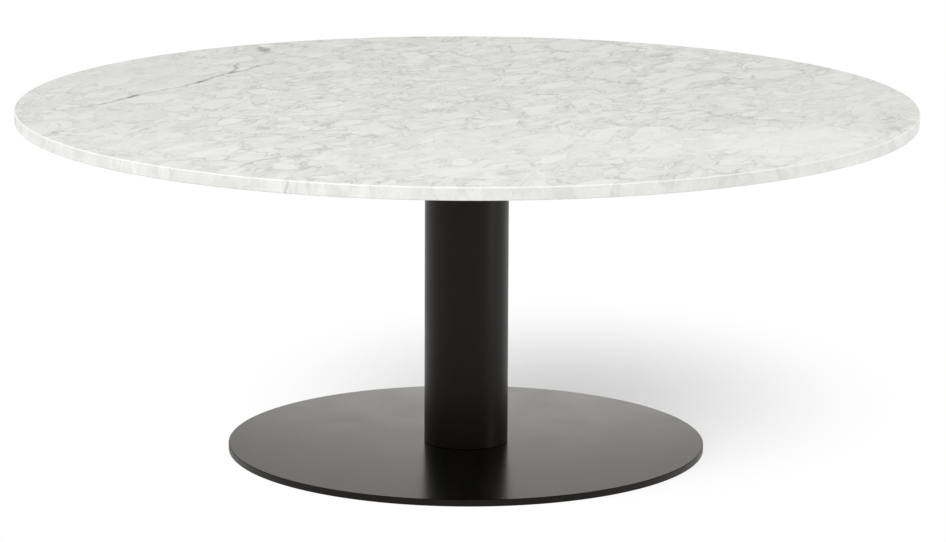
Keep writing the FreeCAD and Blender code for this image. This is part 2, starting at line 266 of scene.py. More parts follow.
# %% Turn the bolts
bolt_low, bolt_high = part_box("plate_bolts")
BOLT_HEAD_RADIUS = 6 * MM
BOLT_HEAD_HEIGHT = 3.5 * MM
BOLT_CROWN_RADIUS = 3.2 * MM
BOLT_SKIRT = 0.6 * MM
BOLT_SHANK_RADIUS = 3 * MM
BOLT_TIP_BEVEL = 0.6 * MM
BOLT_SIDES = 48
DOME_STEPS = 8
KEY_SIDES = 6
KEY_WIDTH = 4 * MM
KEY_RADIUS = KEY_WIDTH / 2 / math.cos(math.pi / KEY_SIDES)
KEY_DEPTH = 2 * MM

dome_rise = BOLT_HEAD_HEIGHT - BOLT_SKIRT
dome = []
for step in range(DOME_STEPS + 1):
    angle = math.pi / 2 * step / DOME_STEPS
    dome.append((
        BOLT_CROWN_RADIUS + (BOLT_HEAD_RADIUS - BOLT_CROWN_RADIUS) * math.sin(angle),
        bolt_low.z + dome_rise * (1 - math.cos(angle)),
    ))
bolt_mesh = bmesh.new()
key_tools = bmesh.new()
for place in ring_places(BORE_COUNT, BORE_RING_RADIUS):
    turn(bolt_mesh, [
        (0, bolt_low.z),
        *dome,
        (BOLT_HEAD_RADIUS, bolt_low.z + BOLT_HEAD_HEIGHT),
        (BOLT_SHANK_RADIUS, bolt_low.z + BOLT_HEAD_HEIGHT),
        (BOLT_SHANK_RADIUS, bolt_high.z - BOLT_TIP_BEVEL),
        (BOLT_SHANK_RADIUS - BOLT_TIP_BEVEL, bolt_high.z),
        (0, bolt_high.z),
    ], BOLT_SIDES, place)
    drill(key_tools, place, KEY_RADIUS, bolt_low.z - HOLD, bolt_low.z + KEY_DEPTH, KEY_SIDES)
bolts = new_piece("button_bolts", bolt_mesh)
cut(bolts, key_tools)
print("bolt faces", len(bolts.data.polygons))

# %% [markdown]
# ## Helpers for materials
#
# A colour is easiest to choose as the hex value that a paint program shows, but Blender's sockets
# want linear light, so one function converts it. A second one adds a node: it sets the node up and
# fills its sockets, each with a plain value or with a link from another node.

# %% Colours and nodes
def linear(hex_colour):
    """An sRGB hex colour as the linear RGBA that Blender's sockets take."""
    parts = [int(hex_colour[place:place + 2], 16) / 255 for place in (1, 3, 5)]
    return (*(p / 12.92 if p <= 0.04045 else ((p + 0.055) / 1.055) ** 2.4 for p in parts), 1.0)


def add(tree, kind, inputs=None, **settings):
    """Adds one node with its settings, and gives each named or numbered socket a value or a link."""
    node = tree.nodes.new("ShaderNode" + kind)
    for setting, value in settings.items():
        setattr(node, setting, value)
    for socket, value in (inputs or {}).items():
        if isinstance(value, bpy.types.NodeSocket):
            tree.links.new(value, node.inputs[socket])
        else:
            node.inputs[socket].default_value = value
    return node


print("white as linear light:", linear("#FFFFFF"))

# %% [markdown]
# Pattern sizes are thought of in millimetres, and a texture's scale is how many of them fit into a
# metre. Blender's noise could be anything from 0 to 1, but it seldom leaves the middle part of that,
# so most uses stretch the middle part. Every finish of the table starts as a Principled shader.

# %% Pattern sizes and finishes
NOISE_MIDDLE = 0.5
NOISE_SPREAD = (0.3, 0.7)


def per_metre(size_mm):
    """The scale of a texture whose features are that many millimetres across."""
    return 1000 / size_mm


def new_finish(name, **inputs):
    """A material with a Principled shader whose sockets hold the given values."""
    finish = bpy.data.materials.new(name)
    finish.use_nodes = True
    shader = finish.node_tree.nodes["Principled BSDF"]
    for socket, value in inputs.items():
        shader.inputs[socket.replace("_", " ")].default_value = value
    return finish, finish.node_tree, shader


print("a pattern of 10 mm has a scale of", per_metre(10))

# %% [markdown]
# ## White marble
#
# This marble is a healed breccia: broken white pieces of every size lie in a soft grey filler, with
# thin darker seams on a few of their borders and one strong grey vein across a corner of the slab. A
# picture of stone would show the same patch everywhere and end at the rim, so the pattern is worked
# out from the place in the stone, and the rim shows what the face does.
#
# The rock was squeezed as it healed, so its pieces are longer along one level direction, and upwards.
# Voronoi cells have the borders of broken stone, and noises of several sizes push their places about
# so that no border stays straight.

# %% Places in the stone
GRAIN_ANGLE = math.radians(65)
GRAIN_STRETCH = 2.0
GRAIN_RISE = 2.2
GRAIN_BENDS_MM = ((140, 45), (45, 14), (16, 6), (6, 2.4))


def shake(tree, place, bends_mm):
    """The place pushed about by noises, each with a size and a swing in millimetres."""
    pushed = place
    for size_mm, swing_mm in bends_mm:
        noise = add(tree, "TexNoise", {"Vector": place, "Scale": per_metre(size_mm), "Detail": 1.0})
        push = add(tree, "VectorMath", {
            0: noise.outputs["Color"], 1: (NOISE_MIDDLE,) * 3,
        }, operation="SUBTRACT").outputs[0]
        pushed = add(tree, "VectorMath", {
            0: push, 1: (swing_mm * MM,) * 3, 2: pushed,
        }, operation="MULTIPLY_ADD").outputs[0]
    return pushed


def grain_place(tree, place):
    """The place in the squeezed rock: turned to the grain, shortened along it and upwards, and shaken."""
    turned = add(tree, "Mapping", {
        "Vector": place, "Location": (0, 0, (1 - GRAIN_RISE) * SLAB_TOP),
        "Rotation": (0, 0, GRAIN_ANGLE), "Scale": (GRAIN_STRETCH, 1, GRAIN_RISE),
    }, vector_type="TEXTURE").outputs[0]
    return shake(tree, turned, GRAIN_BENDS_MM)


print("grain bends, size and swing in mm:", GRAIN_BENDS_MM)

# %% [markdown]
# Each size of broken pieces is one Voronoi pattern. A share of its cells is kept, the rest is left to
# smaller pieces. A noise, somewhat larger than the pieces, widens or closes the filler between them.
# Every piece has its own shade of white and its own softness at the edge, because some were healed
# longer than others. Half-way up that edge lies a seam.

# %% Broken pieces
FILLER_NOISE = 1.5
FILLER_GATE = (0.35, 0.7)
EDGE_SPREAD = (0.4, 2)
CHOICE_BLUR = 0.02


def broken_pieces(tree, place, piece_mm, kept, filler_mm, edge_mm):
    """Where pieces of one size lie, the seams along their borders, and the shade of each."""
    cells = {"Vector": place, "Scale": per_metre(piece_mm)}
    own = add(tree, "SeparateColor", {0: add(tree, "TexVoronoi", cells).outputs["Color"]})
    border = add(tree, "TexVoronoi", cells, feature="DISTANCE_TO_EDGE").outputs["Distance"]
    width = add(tree, "TexNoise", {
        "Vector": place, "Scale": per_metre(FILLER_NOISE * piece_mm), "Detail": 2.0,
    })
    filler = add(tree, "MapRange", {
        "Value": width.outputs["Fac"], "From Min": FILLER_GATE[0], "From Max": FILLER_GATE[1],
        "To Min": 0.0, "To Max": filler_mm / piece_mm,
    }).outputs[0]
    softness = add(tree, "MapRange", {
        "Value": own.outputs[2],
        "To Min": EDGE_SPREAD[0] * edge_mm / piece_mm, "To Max": EDGE_SPREAD[1] * edge_mm / piece_mm,
    }).outputs[0]
    edge = add(tree, "Math", {0: filler, 1: softness}, operation="ADD").outputs[0]
    inside = add(tree, "MapRange", {
        "Value": border, "From Min": filler, "From Max": edge,
    }, interpolation_type="SMOOTHSTEP").outputs[0]
    chosen = add(tree, "MapRange", {
        "Value": own.outputs[0], "From Min": 1 - kept, "From Max": 1 - kept + CHOICE_BLUR,
    }).outputs[0]
    lies = add(tree, "Math", {0: inside, 1: chosen}, operation="MULTIPLY").outputs[0]
    outside = add(tree, "Math", {0: 1.0, 1: inside}, operation="SUBTRACT").outputs[0]
    seam = add(tree, "Math", {0: lies, 1: outside}, operation="MULTIPLY").outputs[0]
    return lies, seam, own.outputs[1]


print("filler opens where its noise lies between", *FILLER_GATE)

# %% [markdown]
# Now the stone is put together as one number, how grey each place is. It starts as cloudy filler. The
# sizes of pieces lie over it and over each other, the largest on top, and each lets some of what is
# below show through. A noise picks the stretches of seam that were stained and show as threads. A
# seam's number is a share times what is left of 1, which is a quarter at most, so it is divided by
# that peak.

# %% Filler, pieces and seams
CLOUD_MM = 30
CLOUD_GREY = (0.19, 0.34)
PIECES = (
    # size in mm, share kept, widest filler and soft edge in mm, how grey, how covering, how seamed
    (8, 0.75, 1.6, 1.5, 0.2, 0.84, 0.9),
    (15, 0.62, 3.0, 1.9, 0.165, 0.78, 1.05),
    (27, 0.55, 5.0, 2.6, 0.145, 0.66, 1.0),
    (48, 0.32, 8, 3.2, 0.135, 0.55, 0.95),
)
OWN_SHADE = 0.06
THREAD_MM = 30
THREAD_GATE = (0.37, 0.6)
SEAM_GREY = 0.27
SEAM_PEAK = 0.25


def healed_stone(tree, place, grain, lines):
    """How grey the filler, the pieces and their seams are, the seams as clear as lines says."""
    cloud = add(tree, "TexNoise", {
        "Vector": grain, "Scale": per_metre(CLOUD_MM), "Detail": 5.0, "Roughness": 0.6,
    })
    grey = add(tree, "MapRange", {
        "Value": cloud.outputs["Fac"], "From Min": NOISE_SPREAD[0], "From Max": NOISE_SPREAD[1],
        "To Min": CLOUD_GREY[0], "To Max": CLOUD_GREY[1],
    }).outputs[0]
    thread = add(tree, "TexNoise", {"Vector": place, "Scale": per_metre(THREAD_MM), "Detail": 2.0})
    threads = add(tree, "MapRange", {
        "Value": thread.outputs["Fac"], "From Min": THREAD_GATE[0], "From Max": THREAD_GATE[1],
        "To Min": 0.0, "To Max": SEAM_GREY / SEAM_PEAK * lines,
    }).outputs[0]
    for piece_mm, kept, filler_mm, edge_mm, white, cover, seams in PIECES:
        lies, seam, shade = broken_pieces(tree, grain, piece_mm, kept, filler_mm, edge_mm)
        own = add(tree, "MapRange", {
            "Value": shade, "To Min": white - OWN_SHADE, "To Max": white + OWN_SHADE,
        }).outputs[0]
        covers = add(tree, "Math", {0: lies, 1: cover}, operation="MULTIPLY").outputs[0]
        grey = add(tree, "Mix", {0: covers, 2: grey, 3: own}).outputs[0]
        darker = add(tree, "Math", {0: threads, 1: seams}, operation="MULTIPLY").outputs[0]
        grey = add(tree, "Math", {0: seam, 1: darker, 2: grey}, operation="MULTIPLY_ADD").outputs[0]
    return grey


print("sizes of pieces in mm:", [row[0] for row in PIECES])

# %% [markdown]
# Hairline cracks follow the places where a wide noise crosses its middle value, and a second noise
# keeps them to some patches. Where cracks and seams meet, their sum is capped, because the stone has
# thin dark lines but no black specks.

# %% Hairline cracks
HAIRLINE_MM = 90
HAIRLINE_WIDTH = 0.009
HAIRLINE_GREY = 0.34
PATCH_MM = 60
PATCH_GATE = (0.46, 0.58)
DARKEST_SEAM = 0.52


def cracked(tree, place, grain, grey, lines):
    """The grey with hairline cracks in it, as clear as lines says, and its seams capped."""
    drift = add(tree, "TexNoise", {"Vector": grain, "Scale": per_metre(HAIRLINE_MM), "Detail": 5.0})
    off = add(tree, "Math", {0: drift.outputs["Fac"], 1: NOISE_MIDDLE}, operation="SUBTRACT").outputs[0]
    distance = add(tree, "Math", {0: off}, operation="ABSOLUTE").outputs[0]
    hairline = add(tree, "MapRange", {
        "Value": distance, "From Min": 0.0, "From Max": HAIRLINE_WIDTH,
        "To Min": HAIRLINE_GREY * lines, "To Max": 0.0,
    }).outputs[0]
    patch = add(tree, "TexNoise", {"Vector": place, "Scale": per_metre(PATCH_MM), "Detail": 2.0})
    patches = add(tree, "MapRange", {
        "Value": patch.outputs["Fac"], "From Min": PATCH_GATE[0], "From Max": PATCH_GATE[1],
    }).outputs[0]
    grey = add(tree, "Math", {0: hairline, 1: patches, 2: grey}, operation="MULTIPLY_ADD").outputs[0]
    return add(tree, "Math", {0: grey, 1: DARKEST_SEAM}, operation="MINIMUM").outputs[0]


print("hairlines wander over", HAIRLINE_MM, "mm")

# %% [markdown]
# In a few quiet stretches the pieces have grown together and the filler almost vanishes. Each is a
# soft spot on the slab, and wide noises push its outline about.

# %% Quiet stretches
QUIET_SPOTS = (
    # x, y and radius in mm, how grey and how calm
    (-400, 210, 150, 0.25, 0.45),
    (-400, -60, 110, 0.27, 0.35),
    (-370, -280, 90, 0.12, 0.3),
    (20, -330, 170, 0.07, 0.25),
    (200, -260, 110, 0.1, 0.25),
    (370, -250, 120, 0.05, 0.6),
    (480, 60, 130, 0.17, 0.4),
)
QUIET_EDGE = (0.4, 1.4)
QUIET_BENDS_MM = ((160, 110), (50, 40), (18, 14))


def calmed(tree, place, grey):
    """The grey, evened out in the quiet stretches."""
    drifting = shake(tree, place, QUIET_BENDS_MM)
    for x, y, radius, pale, calm in QUIET_SPOTS:
        away = add(tree, "VectorMath", {
            0: drifting, 1: (x * MM, y * MM, SLAB_TOP),
        }, operation="DISTANCE").outputs["Value"]
        quiet = add(tree, "MapRange", {
            "Value": away, "To Min": calm, "To Max": 0.0,
            "From Min": QUIET_EDGE[0] * radius * MM, "From Max": QUIET_EDGE[1] * radius * MM,
        }, interpolation_type="SMOOTHSTEP").outputs[0]
        grey = add(tree, "Mix", {0: quiet, 2: grey, 3: pale}).outputs[0]
    return grey


print("quiet stretches:", len(QUIET_SPOTS))

# %% [markdown]
# Work by hand dims the pattern of an edge towards its mean and leaves soft smudges. Sugar-fine
# crystals give every surface a last grain, which is drawn coarser than it is, so that it shows.

# %% Hand work and crystals
MEAN_GREY = 0.2
SMUDGE_MM = 30
CRYSTAL_MM = 2.5
CRYSTAL_GREY = 0.06


def rubbed(tree, place, grey, clarity, smudge):
    """The grey of a surface worked by hand, its pattern dimmed to the given clarity and smudged."""
    dimmed = add(tree, "Mix", {0: clarity, 2: MEAN_GREY, 3: grey}).outputs[0]
    hand = add(tree, "TexNoise", {"Vector": place, "Scale": per_metre(SMUDGE_MM), "Detail": 3.0})
    smudges = add(tree, "MapRange", {
        "Value": hand.outputs["Fac"], "From Min": NOISE_SPREAD[0], "From Max": NOISE_SPREAD[1],
        "To Min": -smudge, "To Max": smudge,
    }).outputs[0]
    return add(tree, "Math", {0: dimmed, 1: smudges}, operation="ADD").outputs[0]


def sugared(tree, place, grey):
    """The grey with the fine grain of the crystals."""
    crystal = add(tree, "TexNoise", {"Vector": place, "Scale": per_metre(CRYSTAL_MM), "Detail": 1.0})
    sugar = add(tree, "MapRange", {
        "Value": crystal.outputs["Fac"], "To Min": -CRYSTAL_GREY, "To Max": CRYSTAL_GREY,
    }).outputs[0]
    return add(tree, "Math", {0: grey, 1: sugar}, operation="ADD").outputs[0]


print("crystals of", CRYSTAL_MM, "mm")

# %% [markdown]
# A vein is a crack that filled with grey mineral. Its route is a handful of points listed on the
# slab. The function turns the slab's places so that one axis runs from the vein's start to its end,
# and two curves then say how far to the side the vein lies and how wide and dark it is.

# %% One vein
VEIN_REACH = 80 * MM


def vein(tree, place, route, widest_mm):
    """How strongly a vein colours each place. A route's points are x, y in mm and a share of the width."""
    start, end = Vector(route[0][:2]) * MM, Vector(route[-1][:2]) * MM
    length = (end - start).length
    along = (end - start) / length
    across = Vector((-along.y, along.x))
    stations = []
    for x, y, share in route:
        offset = Vector((x, y)) * MM - start
        stations.append((offset.dot(along) / length, offset.dot(across) / (2 * VEIN_REACH) + 0.5, share))

    from_start = add(tree, "VectorMath", {0: place, 1: (*start, 0)}, operation="SUBTRACT").outputs[0]
    far = add(tree, "VectorMath", {0: from_start, 1: (*along / length, 0)}, operation="DOT_PRODUCT")
    side = add(tree, "VectorMath", {0: from_start, 1: (*across, 0)}, operation="DOT_PRODUCT")
    curves = []
    for index in (1, 2):
        curve = add(tree, "FloatCurve", {"Value": far.outputs["Value"]})
        points = curve.mapping.curves[0].points
        while len(points) < len(stations):
            points.new(0.5, 0.5)
        for point, station in zip(points, stations):
            point.location = (station[0], station[index])
            point.handle_type = "AUTO_CLAMPED"
        curve.mapping.extend = "HORIZONTAL"
        curve.mapping.update()
        curves.append(curve.outputs["Value"])
    sideways, share = curves

    middle = add(tree, "MapRange", {
        "Value": sideways, "To Min": -VEIN_REACH, "To Max": VEIN_REACH,
    }).outputs[0]
    away = add(tree, "Math", {0: side.outputs["Value"], 1: middle}, operation="SUBTRACT").outputs[0]
    distance = add(tree, "Math", {0: away}, operation="ABSOLUTE").outputs[0]
    width = add(tree, "Math", {0: share, 1: widest_mm * MM}, operation="MULTIPLY").outputs[0]
    fade = add(tree, "MapRange", {
        "Value": distance, "From Min": 0.0, "From Max": width, "To Min": 1.0, "To Max": 0.0,
    }, interpolation_type="SMOOTHSTEP").outputs[0]
    return add(tree, "Math", {0: fade, 1: share}, operation="MULTIPLY").outputs[0]


print("a vein strays up to", VEIN_REACH, "m from its straight line")

# %% [markdown]
# The slab has one long vein with a knot and a branch on it, and a few short ones. They come after
# everything else, because they cut through it. Noises bend them, and thin them here and there.

# %% The veins of this slab
VEIN_BENDS_MM = ((38, 14), (13, 7), (5, 2.5))
VEINS = (
    # widest in mm, how dark, and the route
    (6, 0.75, (
        (-505, -15, 0.0), (-463, -34, 0.7), (-435, -15, 0.65), (-410, 27, 0.65), (-398, 44, 0.9),
        (-385, 68, 0.6), (-351, 109, 0.65), (-334, 136, 0.7), (-327, 153, 0.9), (-312, 184, 0.65),
        (-292, 226, 0.7), (-272, 256, 0.65), (-250, 290, 0.55), (-222, 335, 0.0),
    )),
    (9, 0.5, ((-405, 28, 0.0), (-398, 44, 1.0), (-391, 60, 0.0))),
    (13, 0.5, ((-268, 445, 0.0), (-260, 412, 1.0), (-250, 378, 0.0))),
    (5, 0.5, ((-296, 210, 0.0), (-289, 255, 1.0), (-284, 305, 0.0))),
    (3, 0.35, ((-460, 130, 0.0), (-425, 110, 0.7), (-399, 47, 0.6), (-392, 30, 0.0))),
    (4, 0.45, (
        (-260, -490, 0.0), (-248, -420, 0.7), (-234, -388, 1.0), (-185, -350, 0.5), (-150, -345, 0.0),
    )),
    (4, 0.4, ((-25, 10, 0.0), (35, -30, 0.9), (75, -80, 0.0))),
    (4, 0.4, ((-85, -120, 0.0), (-72, -160, 0.7), (-65, -200, 0.0))),
    (3, 0.22, ((-195, -560, 0.0), (-193, -500, 0.9), (-185, -440, 0.0))),
)
GAP_MM = 16
GAP_GATE = (0.35, 0.6)
GAP_SHARE = 0.5


def veined(tree, place, grey):
    """The grey with the slab's veins in it."""
    bent = shake(tree, place, VEIN_BENDS_MM)
    gaps = add(tree, "TexNoise", {"Vector": place, "Scale": per_metre(GAP_MM), "Detail": 2.0})
    thinned = add(tree, "MapRange", {
        "Value": gaps.outputs["Fac"], "From Min": GAP_GATE[0], "From Max": GAP_GATE[1],
        "To Min": GAP_SHARE, "To Max": 1.0,
    }).outputs[0]
    for widest_mm, strength, route in VEINS:
        whole = vein(tree, bent, route, widest_mm)
        streak = add(tree, "Math", {0: whole, 1: thinned}, operation="MULTIPLY").outputs[0]
        grey = add(tree, "Math", {0: streak, 1: strength, 2: grey}, operation="MULTIPLY_ADD").outputs[0]
    return grey


print("veins:", len(VEINS))

# %% [markdown]
# A ramp of five shades turns the number into colour. The face is polished, the rim was ground by
# hand, which left its pattern faint and a little smudged, the arris above it was rubbed round, and
# the underside is as the saw left it. The arris has paler shades, almost white: a painted highlight
# for the light that the rounding catches. All four share the pattern. Calcite's index of
# refraction lies between 1.49 and 1.66, and the low end suits this soft polish.

# %% The marble
STONE_IOR = 1.5
POLISH_MM = 45
POLISH_SWING = 0.06
SHADE_STEPS = (0.0, 0.25, 0.5, 0.75, 1.0)
STONE_SHADES = ("#EAEBE8", "#D4D5D1", "#BABBB7", "#8F908D", "#616260")
RIM_SHADES = ("#F0F1EE", "#D2D3CF", "#B1B2AF", "#8F908C", "#666665")
# The arris's paler shades paint a highlight for the light that falls on its rounding.
ARRIS_HIGHLIGHT_SHADES = ("#F2F3EF", "#E1E2DE", "#C2C3C0", "#9D9E9B", "#727371")


def marble(name, shades, roughness, clarity=1.0, lines=1.0, smudge=0.0):
    """Veined white marble of a given polish, its pattern, lines and smudges as clear as asked."""
    finish, tree, shader = new_finish(name, IOR=STONE_IOR)
    place = add(tree, "TexCoord").outputs["Object"]
    polish = add(tree, "TexNoise", {"Vector": place, "Scale": per_metre(POLISH_MM), "Detail": 3.0})
    sheen = add(tree, "MapRange", {
        "Value": polish.outputs["Fac"],
        "To Min": roughness - POLISH_SWING, "To Max": roughness + POLISH_SWING,
    })
    tree.links.new(sheen.outputs[0], shader.inputs["Roughness"])

    grain = grain_place(tree, place)
    grey = healed_stone(tree, place, grain, lines)
    grey = cracked(tree, place, grain, grey, lines)
    grey = calmed(tree, place, grey)
    if clarity < 1:
        grey = rubbed(tree, place, grey, clarity, smudge)
    grey = sugared(tree, place, grey)
    grey = veined(tree, place, grey)

    ramp = add(tree, "ValToRGB", {0: grey})
    for step in SHADE_STEPS[1:-1]:
        ramp.color_ramp.elements.new(step)
    for element, step, colour in zip(ramp.color_ramp.elements, SHADE_STEPS, shades):
        element.position = step
        element.color = linear(colour)
    tree.links.new(ramp.outputs["Color"], shader.inputs["Base Color"])
    return finish


polished_marble = marble("White marble, polished", STONE_SHADES, roughness=0.4)
ground_marble = marble(
    "White marble, ground edge", RIM_SHADES, roughness=0.5, clarity=0.5, lines=0.35, smudge=0.045,
)
# The arris is rubbed marble whose paler shades are a painted highlight.
rubbed_highlit_marble = marble(
    "White marble, rubbed arris with painted highlight", ARRIS_HIGHLIGHT_SHADES, roughness=0.3, clarity=0.5, lines=0.3, smudge=0.03,
)
sawn_marble = marble("White marble, sawn", STONE_SHADES, roughness=0.7)
print("marble nodes:", len(polished_marble.node_tree.nodes))

# %% [markdown]
# A finished piece takes the place of the measured one that it was made after, so it rides on the same
# body. It is shaded smooth, but edges that turn sharply stay sharp.

# %% Dress a piece
SHARP_ANGLE = math.radians(32)


def dress(piece, node, slot, *finishes):
    """Shades a piece smooth but for its sharp edges, and lets it stand for a measured node."""
    piece.data.shade_smooth()
    piece.data.set_sharp_from_angle(angle=SHARP_ANGLE)
    for finish in finishes:
        piece.data.materials.append(finish)
    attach(piece, "root")
    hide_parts(node)
    print(piece.name, "stands for", node, "with", len(piece.data.polygons), "faces")


print("edges stay sharp above", round(math.degrees(SHARP_ANGLE)), "degrees")

# %% [markdown]
# A face's direction tells what was done to it: the level ones are polished above and sawn below, the
# sloping ones of the rounding above are the arris, which wears the painted highlight, and the rest are
# the rim.

# %% Dress the slab
LEVEL = 0.99
ARRIS_LEAN = 0.1
POLISHED, GROUND, RUBBED_HIGHLIT, SAWN = range(4)

dress(slab, "marble_top", "marble", polished_marble, ground_marble, rubbed_highlit_marble, sawn_marble)
# The sloping faces of the rounding get the arris finish with its painted highlight.
for face in slab.data.polygons:
    if face.normal.z > LEVEL:
        face.material_index = POLISHED
    elif face.normal.z > ARRIS_LEAN:
        face.material_index = RUBBED_HIGHLIT
    elif face.normal.z < -LEVEL:
        face.material_index = SAWN
    else:
        face.material_index = GROUND
print("finishes on the slab:", len(slab.data.materials))

# %% [markdown]
# A gang saw left shallow grooves across the underside, some eight millimetres apart. They are a wave
# of bands, bent a little, that only the sawn finish gets as a bump. At a scale of 1, Blender's wave
# runs through 20 radians in a metre.

# %% Saw marks
SAW_MM = 7.9
SAW_DEPTH = 0.08 * MM
WAVE_RADIANS = 20

tree = sawn_marble.node_tree
place = add(tree, "TexCoord").outputs["Object"]
grooves = add(tree, "TexWave", {
    "Vector": place, "Scale": math.tau * per_metre(SAW_MM) / WAVE_RADIANS,
    "Distortion": 1.5, "Detail": 2.0,
})
bump = add(tree, "Bump", {"Height": grooves.outputs["Fac"], "Strength": 0.5, "Distance": SAW_DEPTH})
tree.links.new(bump.outputs["Normal"], tree.nodes["Principled BSDF"].inputs["Normal"])
print("saw marks every", SAW_MM, "mm")

# %% [markdown]
# ## Black powder coat
#
# The steel was sprayed with powder and baked: a satin black skin with a very fine orange peel, a
# plastic to the light and not a metal. Seen straight on it is nearly black. Seen at a low angle, as
# the base is here, it mirrors the pale room and turns grey. On the level plate the melted powder
# flowed out smooth, and its index of refraction is the usual 1.5. A grey specular tint, which acts
# only on what is seen straight on, stands for the matting powder in it. On the upright tube and on
# the plate's edge the skin stayed rougher and reflects less, so its index is lower. The peel's bump
# and the uneven satin come from noises.

# %% The powder coat
COAT_BLACK = "#050504"
PEEL_MM = 2.2
PEEL_HEIGHT = 0.05 * MM
UNEVEN_MM = 60


def powder_coat(name, ior, tint, roughness):
    """Satin black powder coat whose roughness wanders between two values."""
    finish, tree, shader = new_finish(
        name, IOR=ior, Specular_Tint=linear(tint), Base_Color=linear(COAT_BLACK),
    )
    place = add(tree, "TexCoord").outputs["Object"]
    uneven = add(tree, "TexNoise", {"Vector": place, "Scale": per_metre(UNEVEN_MM), "Detail": 4.0})
    satin = add(tree, "MapRange", {
        "Value": uneven.outputs["Fac"], "From Min": NOISE_SPREAD[0], "From Max": NOISE_SPREAD[1],
        "To Min": roughness[0], "To Max": roughness[1],
    })
    tree.links.new(satin.outputs[0], shader.inputs["Roughness"])
    peel = add(tree, "TexNoise", {"Vector": place, "Scale": per_metre(PEEL_MM), "Detail": 2.0})
    bump = add(tree, "Bump", {"Height": peel.outputs["Fac"], "Strength": 0.08, "Distance": PEEL_HEIGHT})
    tree.links.new(bump.outputs["Normal"], shader.inputs["Normal"])
    return finish


level_coat = powder_coat(
    "Powder coat, satin black, level", ior=1.5, tint="#A39F98", roughness=(0.21, 0.25),
)
upright_coat = powder_coat(
    "Powder coat, satin black, upright", ior=1.3, tint="#FFF6EA", roughness=(0.35, 0.41),
)
print("coats:", level_coat.name, "and", upright_coat.name)

# %% [markdown]
# The tube wears the upright coat all over. The base wears the level one on its two faces and the
# upright one round its edge. The measured support plate keeps its own mesh and wears the level one.

# %% Dress the steel
FLAT_FACES, EDGE_FACES = range(2)

dress(tube, "column_tube", "powder_coat", upright_coat)
dress(base, "base_disc", "powder_coat", level_coat, upright_coat)
for face in base.data.polygons:
    face.material_index = FLAT_FACES if abs(face.normal.z) > LEVEL else EDGE_FACES
nodes["support_plate"].material_slots[0].material = level_coat
print("support_plate wears", level_coat.name)

# %% [markdown]
# ## Hardware, rubber and nylon
#
# The small pieces share one recipe: a noise as large as the finish's own grain moves the colour
# between two shades, the roughness between two values, and the surface up and down. What makes each
# one itself is in the numbers. Bright zinc is a pale, slightly blue metal. Black oxide is steel with
# a dark skin. Mill steel is grey and rough from the saw, with its grain drawn out along X. Turned
# brass has rings, so its grain is drawn out level. Neoprene is matt, and moulded nylon has a slight
# sheen. Grains finer than half a millimetre are drawn at that size, so that they show.

# %% A recipe for small finishes
def grained(name, shades, roughness, grain_mm, relief_mm, squash=(1, 1, 1), metallic=0.0):
    """A finish whose colour, roughness and relief all follow one noise."""
    finish, tree, shader = new_finish(name, Metallic=metallic)
    place = add(tree, "TexCoord").outputs["Object"]
    drawn = add(tree, "VectorMath", {0: place, 1: squash}, operation="MULTIPLY").outputs[0]
    noise = add(tree, "TexNoise", {
        "Vector": drawn, "Scale": per_metre(grain_mm), "Detail": 3.0,
    }).outputs["Fac"]
    even = add(tree, "MapRange", {
        "Value": noise, "From Min": NOISE_SPREAD[0], "From Max": NOISE_SPREAD[1],
    }).outputs[0]
    colour = add(tree, "Mix", {0: even, 6: linear(shades[0]), 7: linear(shades[1])}, data_type="RGBA")
    matt = add(tree, "MapRange", {"Value": even, "To Min": roughness[0], "To Max": roughness[1]})
    bump = add(tree, "Bump", {"Height": noise, "Strength": 0.3, "Distance": relief_mm * MM})
    tree.links.new(colour.outputs[2], shader.inputs["Base Color"])
    tree.links.new(matt.outputs[0], shader.inputs["Roughness"])
    tree.links.new(bump.outputs["Normal"], shader.inputs["Normal"])
    return finish


SMALL_FINISHES = {
    "zinc_steel": grained(
        "Zinc plate, bright", ("#AEB3B7", "#D2D6D9"), roughness=(0.22, 0.36),
        grain_mm=2.5, relief_mm=0.01, metallic=1.0,
    ),
    "black_screws": grained(
        "Steel, black oxide", ("#141416", "#29292B"), roughness=(0.3, 0.48),
        grain_mm=1.5, relief_mm=0.01, metallic=1.0,
    ),
    "raw_steel": grained(
        "Steel, mill finish", ("#6B6763", "#A19D98"), roughness=(0.35, 0.6),
        grain_mm=3, relief_mm=0.05, squash=(0.15, 1, 1), metallic=1.0,
    ),
    "brass": grained(
        "Brass, turned", ("#B88F3E", "#D9B566"), roughness=(0.2, 0.34),
        grain_mm=0.5, relief_mm=0.02, squash=(0.05, 0.05, 1), metallic=1.0,
    ),
    "neoprene": grained(
        "Neoprene sheet", ("#0D0D0D", "#191919"), roughness=(0.7, 0.9),
        grain_mm=0.8, relief_mm=0.04,
    ),
    "nylon": grained(
        "Nylon, moulded", ("#101010", "#1C1C1B"), roughness=(0.38, 0.55),
        grain_mm=1.2, relief_mm=0.03,
    ),
}
print("small finishes:", len(SMALL_FINISHES))

# %% [markdown]
# The bolts made here and the measured small pieces take the finish that their record's slot names.

# %% Dress the hardware
dress(bolts, "plate_bolts", "zinc_steel", SMALL_FINISHES["zinc_steel"])
for subpart in frame["record"]["subparts"]:
    finish = SMALL_FINISHES.get(subpart["material_slot"])
    if finish:
        for material_slot in nodes[subpart["node"]].material_slots:
            material_slot.material = finish
        print(subpart["node"], "wears", finish.name)

# %% [markdown]
# ## A white room
#
# The table stands in a white studio, so the walls are one pale light all round. Light Path tells who
# is looking: light that falls on the table is one thing, and what the eye, mirrors and glass see is
# another, so that the background can be plain white without lighting the table more.
#
# The light is strongest near the horizon, where it falls on the rim of the slab, and weaker overhead,
# behind the camera and at the right.

